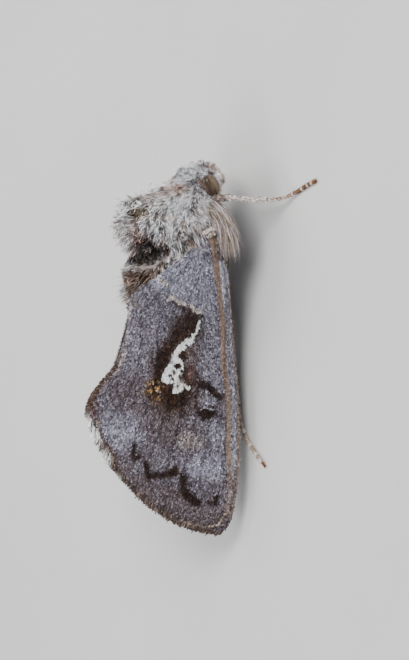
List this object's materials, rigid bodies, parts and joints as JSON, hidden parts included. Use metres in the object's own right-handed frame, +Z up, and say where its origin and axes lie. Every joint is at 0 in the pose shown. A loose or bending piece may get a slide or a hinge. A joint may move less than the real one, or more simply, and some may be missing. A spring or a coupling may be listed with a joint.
{
  "type": "moth",
  "caption": "Resting plusiine noctuid moth, life size, wings folded roof-like over the body, crested furry thorax, forelegs and hind tarsi on the ground.",
  "frame": {"origin": "on the ground, under the middle of the whole animal's outline", "axes": "+Z up, +Y towards the wing tips, so the head points along -Y; the moth's right side is -X"},
  "size_m": [0.0156, 0.0236, 0.0089],
  "materials": {
    "fur": "soft grey to pinkish brown hair with pale tips, matt",
    "wing_scales": "matt lavender-grey and dark brown scales with a silvery white mark",
    "hindwing_scales": "matt greyish brown scales",
    "eye": "smooth olive-brown, softly glossy",
    "leg_scales": "beige scales with brown and white rings, matt",
    "antenna": "brown rings, slightly silky"
  },
  "bodies": {
    "root": {"head": "fur", "eye_right": "eye", "eye_left": "eye", "palp_right": "fur", "palp_left": "fur", "antenna_right": "antenna", "antenna_left": "antenna", "thorax": "fur", "abdomen": "fur", "forewing_right": "wing_scales", "forewing_left": "wing_scales", "hindwing_right": "hindwing_scales", "hindwing_left": "hindwing_scales", "foreleg_right": "leg_scales", "foreleg_left": "leg_scales", "midleg_right": "leg_scales", "midleg_left": "leg_scales", "hindleg_right": "leg_scales", "hindleg_left": "leg_scales"}
  },
  "joints": []
}
